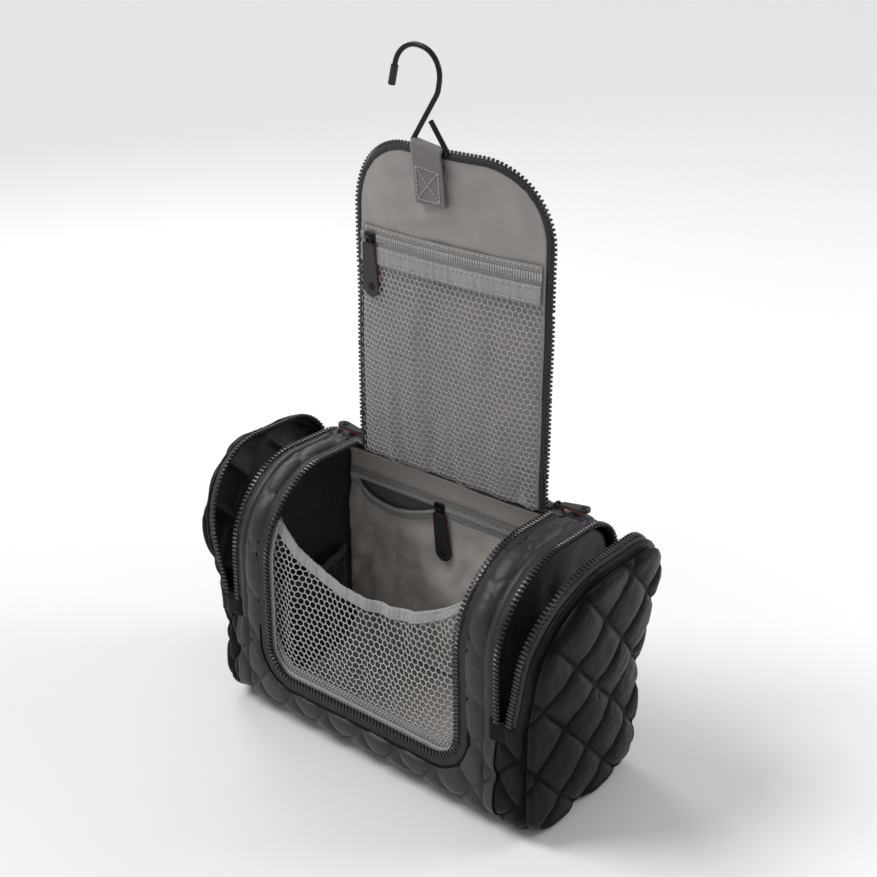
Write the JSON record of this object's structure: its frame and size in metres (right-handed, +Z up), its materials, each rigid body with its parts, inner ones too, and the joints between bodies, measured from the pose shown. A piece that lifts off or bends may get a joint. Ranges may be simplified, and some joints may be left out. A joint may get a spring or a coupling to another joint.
{
  "type": "hanging toiletry bag",
  "caption": "Free-standing quilted toiletry bag with a zip-round front flap standing open, mesh and zip pockets, a zip pocket at each end, and a wire hook to hang it by.",
  "frame": {"origin": "middle of the base, on the surface it stands on", "axes": "+X to the bag's right end seen from the front, +Y to its back, where the flap is hinged, +Z up"},
  "size_m": [0.3243, 0.131, 0.4742],
  "materials": {
    "quilted_nylon": "satin quilted nylon, puffy diamonds",
    "plain_nylon": "satin padded nylon, plain",
    "grey_lining": "satin woven polyester lining",
    "black_lining": "woven polyester lining",
    "grey_mesh": "knitted hexagonal net",
    "grey_elastic": "folded elastic binding",
    "grey_webbing": "woven webbing",
    "black_zip": "moulded zip teeth on woven tape",
    "grey_zip": "coil zip on woven tape",
    "slider_metal": "semi-gloss black",
    "pull_leather": "smooth, with a dark red back",
    "hook_metal": "semi-gloss black",
    "rubber_tip": "matt"
  },
  "bodies": {
    "bag": {"back_lining": "grey_lining", "back_panel": "quilted_nylon", "back_pocket_zip": "grey_zip", "base_lining": "grey_lining", "base_panel": "quilted_nylon", "front_mesh_binding": "grey_elastic", "front_mesh_pocket": "grey_mesh", "front_panel": "quilted_nylon", "left_divider": "black_lining", "left_end_base": "quilted_nylon", "left_end_inner_track": "black_zip", "left_inner_pocket": "black_lining", "left_side_band": "plain_nylon", "main_zip_left_track": "black_zip", "main_zip_right_track": "black_zip", "main_zip_sill_track": "black_zip", "right_divider": "black_lining", "right_end_base": "quilted_nylon", "right_end_inner_track": "black_zip", "right_inner_pocket": "black_lining", "right_side_band": "plain_nylon", "zip_end_tabs": "plain_nylon"},
    "left_end": {"left_end_cover": "quilted_nylon", "left_end_outer_track": "black_zip"},
    "right_end": {"right_end_cover": "quilted_nylon", "right_end_outer_track": "black_zip"},
    "flap_1": {"flap_panel_1": "quilted_nylon", "flap_track_1": "black_zip", "flap_lining_1": "grey_lining", "flap_mesh_1": "grey_mesh"},
    "flap_2": {"flap_panel_2": "quilted_nylon", "flap_track_2": "black_zip", "flap_lining_2": "grey_lining", "flap_mesh_2": "grey_mesh"},
    "flap_3": {"flap_panel_3": "quilted_nylon", "flap_track_3": "black_zip", "flap_lining_3": "grey_lining", "flap_mesh_3": "grey_mesh", "flap_pocket_zip": "grey_zip", "flap_pocket_binding": "grey_elastic"},
    "flap_4": {"flap_panel_4": "quilted_nylon", "flap_track_4": "black_zip", "flap_lining_4": "grey_lining", "hook_loop": "grey_webbing"},
    "hook": {"hook_wire": "hook_metal", "hook_tip": "rubber_tip"},
    "flap_pocket_slider": {"flap_pocket_slider": "slider_metal"},
    "flap_pocket_pull": {"flap_pocket_pull": "pull_leather"},
    "back_pocket_slider": {"back_pocket_slider": "slider_metal"},
    "back_pocket_pull": {"back_pocket_pull": "pull_leather"},
    "left_main_slider": {"left_main_slider": "slider_metal"},
    "left_main_pull": {"left_main_pull": "pull_leather"},
    "right_main_slider": {"right_main_slider": "slider_metal"},
    "right_main_pull": {"right_main_pull": "pull_leather"},
    "left_end_slider": {"left_end_slider": "slider_metal"},
    "left_end_pull": {"left_end_pull": "pull_leather"},
    "right_end_slider": {"right_end_slider": "slider_metal"},
    "right_end_pull": {"right_end_pull": "pull_leather"}
  },
  "joints": [
    {"name": "flap_hinge", "type": "hinge", "parent": "bag", "child": "flap_1", "pos_m": [0, 0.03, 0.182], "axis": [1, 0, 0], "range_deg": [-15, 76]},
    {"name": "flap_fold_2", "type": "hinge", "parent": "flap_1", "child": "flap_2", "pos_m": [0, 0.03, 0.234], "axis": [1, 0, 0], "range_deg": [-8.68, 44]},
    {"name": "flap_fold_3", "type": "hinge", "parent": "flap_2", "child": "flap_3", "pos_m": [0, 0.03, 0.288], "axis": [1, 0, 0], "range_deg": [-7.89, 40]},
    {"name": "flap_fold_4", "type": "hinge", "parent": "flap_3", "child": "flap_4", "pos_m": [0, 0.03, 0.35], "axis": [1, 0, 0], "range_deg": [-3.95, 20]},
    {"name": "hook_swing", "type": "hinge", "parent": "flap_4", "child": "hook", "pos_m": [-0.007, 0.018, 0.4099], "axis": [0.9871, 0, -0.1599], "range_deg": [-45, 165]},
    {"name": "left_end_open", "type": "hinge", "parent": "bag", "child": "left_end", "pos_m": [-0.142, 0, 0.085], "axis": [0, -1, 0], "range_deg": [-14, 40]},
    {"name": "right_end_open", "type": "hinge", "parent": "bag", "child": "right_end", "pos_m": [0.142, 0, 0.085], "axis": [0, 1, 0], "range_deg": [-10, 40]},
    {"name": "flap_pocket_slide", "type": "slide", "parent": "flap_3", "child": "flap_pocket_slider", "axis": [1, 0, 0], "range_m": [0, 0.12]},
    {"name": "flap_pocket_pull_swing", "type": "hinge", "parent": "flap_pocket_slider", "child": "flap_pocket_pull", "pos_m": [-0.064, 0.019, 0.342], "axis": [0, 1, 0], "range_deg": [-70, 70]},
    {"name": "back_pocket_slide", "type": "slide", "parent": "bag", "child": "back_pocket_slider", "axis": [1, 0, 0], "range_m": [-0.065, 0.112]},
    {"name": "back_pocket_pull_swing", "type": "hinge", "parent": "back_pocket_slider", "child": "back_pocket_pull", "pos_m": [-0.024, 0.0441, 0.144], "axis": [-1, 0, 0], "range_deg": [0, 110]},
    {"name": "left_main_slide", "type": "slide", "parent": "bag", "child": "left_main_slider", "axis": [0, -1, 0], "range_m": [0, 0.034]},
    {"name": "left_main_pull_swing", "type": "hinge", "parent": "left_main_slider", "child": "left_main_pull", "pos_m": [-0.0845, 0.037, 0.1886], "axis": [0, 1, 0], "range_deg": [0, 110]},
    {"name": "left_end_slide", "type": "slide", "parent": "bag", "child": "left_end_slider", "axis": [0, 0, 1], "range_m": [0, 0.055]},
    {"name": "left_end_pull_swing", "type": "hinge", "parent": "left_end_slider", "child": "left_end_pull", "pos_m": [-0.12, 0.0639, 0.092], "axis": [1, 0, 0], "range_deg": [0, 110]},
    {"name": "right_main_slide", "type": "slide", "parent": "bag", "child": "right_main_slider", "axis": [0, -1, 0], "range_m": [0, 0.034]},
    {"name": "right_main_pull_swing", "type": "hinge", "parent": "right_main_slider", "child": "right_main_pull", "pos_m": [0.0845, 0.037, 0.1886], "axis": [0, -1, 0], "range_deg": [0, 110]},
    {"name": "right_end_slide", "type": "slide", "parent": "bag", "child": "right_end_slider", "axis": [0, 0, 1], "range_m": [0, 0.055]},
    {"name": "right_end_pull_swing", "type": "hinge", "parent": "right_end_slider", "child": "right_end_pull", "pos_m": [0.12, 0.0639, 0.092], "axis": [1, 0, 0], "range_deg": [0, 110]}
  ],
  "couplings": [
    {"joint": "flap_fold_2", "follows": "flap_hinge", "ratio": 0.57895},
    {"joint": "flap_fold_3", "follows": "flap_hinge", "ratio": 0.52632},
    {"joint": "flap_fold_4", "follows": "flap_hinge", "ratio": 0.26316}
  ]
}
